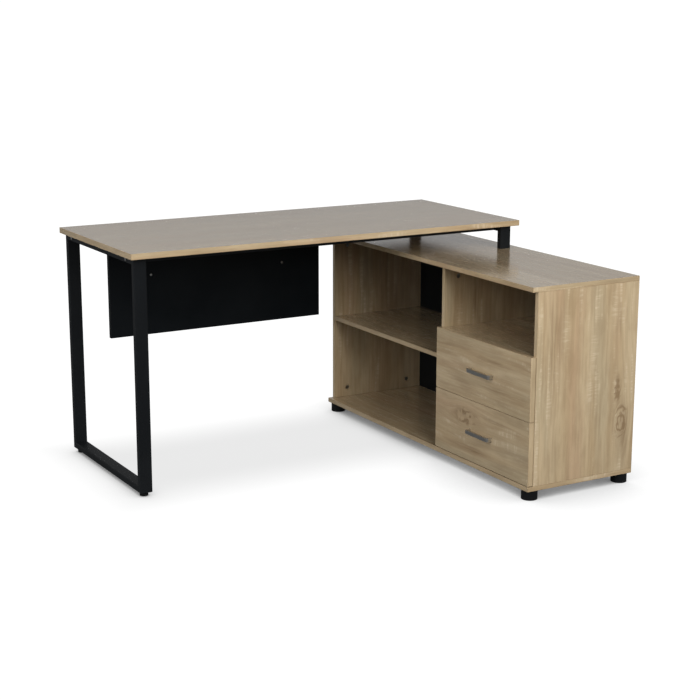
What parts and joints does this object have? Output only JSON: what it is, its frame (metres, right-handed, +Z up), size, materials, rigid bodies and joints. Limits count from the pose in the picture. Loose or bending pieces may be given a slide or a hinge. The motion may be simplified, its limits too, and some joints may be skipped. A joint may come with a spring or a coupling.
{
  "type": "corner desk",
  "caption": "L-shaped desk: an oak-laminate desktop on a black steel loop frame and a steel riser standing on a low return cabinet with open compartments and drawers.",
  "frame": {"origin": "on the floor, under the centre of the whole object's bounding box", "axes": "+X to the right along the desktop, towards the cabinet; +Y from the user's side of the desktop to its back; +Z up. The cabinet's open side faces -X"},
  "size_m": [1.407, 1.214, 0.75],
  "materials": {
    "oak_laminate": "light rough-sawn oak print, satin melamine",
    "black_laminate": "black melamine, fine grained, satin",
    "hardboard": "thin hardboard with a printed face",
    "beech": "bare fluted beech",
    "black_steel": "black powder coat, fine texture",
    "zinc_steel": "zinc plated",
    "bright_metal": "bright satin chrome",
    "black_plastic": "moulded black plastic, matt"
  },
  "bodies": {
    "desk": {"back_panel": "black_laminate", "bracket_bolts": "zinc_steel", "cabinet_bottom": "oak_laminate", "cabinet_top": "oak_laminate", "cam_bolts": "zinc_steel", "cam_locks": "zinc_steel", "desktop": "oak_laminate", "desktop_screws": "zinc_steel", "divider_panel": "oak_laminate", "dowels": "beech", "drawer_bay_shelf": "oak_laminate", "far_bay_shelf": "oak_laminate", "far_end_panel": "oak_laminate", "foot_far_left": "black_plastic", "foot_far_right": "black_plastic", "foot_near_left": "black_plastic", "foot_near_right": "black_plastic", "foot_screws": "zinc_steel", "frame_bolts": "zinc_steel", "front_beam": "black_steel", "glide_nuts": "zinc_steel", "left_frame_bottom_bar": "black_steel", "left_frame_front_leg": "black_steel", "left_frame_rear_leg": "black_steel", "left_frame_top_bar": "black_steel", "modesty_bracket_left": "black_steel", "modesty_bracket_right": "black_steel", "modesty_panel": "black_laminate", "modesty_screws": "zinc_steel", "near_end_panel": "oak_laminate", "rear_beam": "black_steel", "riser_bolts": "zinc_steel", "riser_front_post": "black_steel", "riser_rear_post": "black_steel", "riser_top_bar": "black_steel", "slide_outer_members": "zinc_steel", "threaded_end_plates": "black_steel"},
    "upper_drawer": {"upper_drawer_front": "oak_laminate", "upper_drawer_left_side": "oak_laminate", "upper_drawer_right_side": "oak_laminate", "upper_drawer_back": "oak_laminate", "upper_drawer_floor": "hardboard", "upper_drawer_handle": "bright_metal", "upper_handle_screws": "zinc_steel", "upper_slide_inner_members": "zinc_steel"},
    "lower_drawer": {"lower_drawer_front": "oak_laminate", "lower_drawer_left_side": "oak_laminate", "lower_drawer_right_side": "oak_laminate", "lower_drawer_back": "oak_laminate", "lower_drawer_floor": "hardboard", "lower_drawer_handle": "bright_metal", "lower_handle_screws": "zinc_steel", "lower_slide_inner_members": "zinc_steel"},
    "upper_slide_middles": {"upper_slide_middle_members": "zinc_steel", "upper_slide_balls": "zinc_steel"},
    "lower_slide_middles": {"lower_slide_middle_members": "zinc_steel", "lower_slide_balls": "zinc_steel"},
    "front_glide": {"front_glide": "black_plastic"},
    "rear_glide": {"rear_glide": "black_plastic"}
  },
  "joints": [
    {"name": "upper_drawer_slide", "type": "slide", "parent": "desk", "child": "upper_drawer", "axis": [-1, 0, 0], "range_m": [0, 0.35]},
    {"name": "upper_slide_extension", "type": "slide", "parent": "desk", "child": "upper_slide_middles", "axis": [-1, 0, 0], "range_m": [0, 0.175]},
    {"name": "lower_drawer_slide", "type": "slide", "parent": "desk", "child": "lower_drawer", "axis": [-1, 0, 0], "range_m": [0, 0.35]},
    {"name": "lower_slide_extension", "type": "slide", "parent": "desk", "child": "lower_slide_middles", "axis": [-1, 0, 0], "range_m": [0, 0.175]},
    {"name": "front_glide_turn", "type": "hinge", "parent": "desk", "child": "front_glide", "pos_m": [-0.6665, 0.027, 0], "axis": [0, 0, 1], "continuous": true},
    {"name": "rear_glide_turn", "type": "hinge", "parent": "desk", "child": "rear_glide", "pos_m": [-0.6665, 0.552, 0], "axis": [0, 0, 1], "continuous": true}
  ],
  "couplings": [
    {"joint": "upper_slide_extension", "follows": "upper_drawer_slide", "ratio": 0.5},
    {"joint": "lower_slide_extension", "follows": "lower_drawer_slide", "ratio": 0.5}
  ]
}
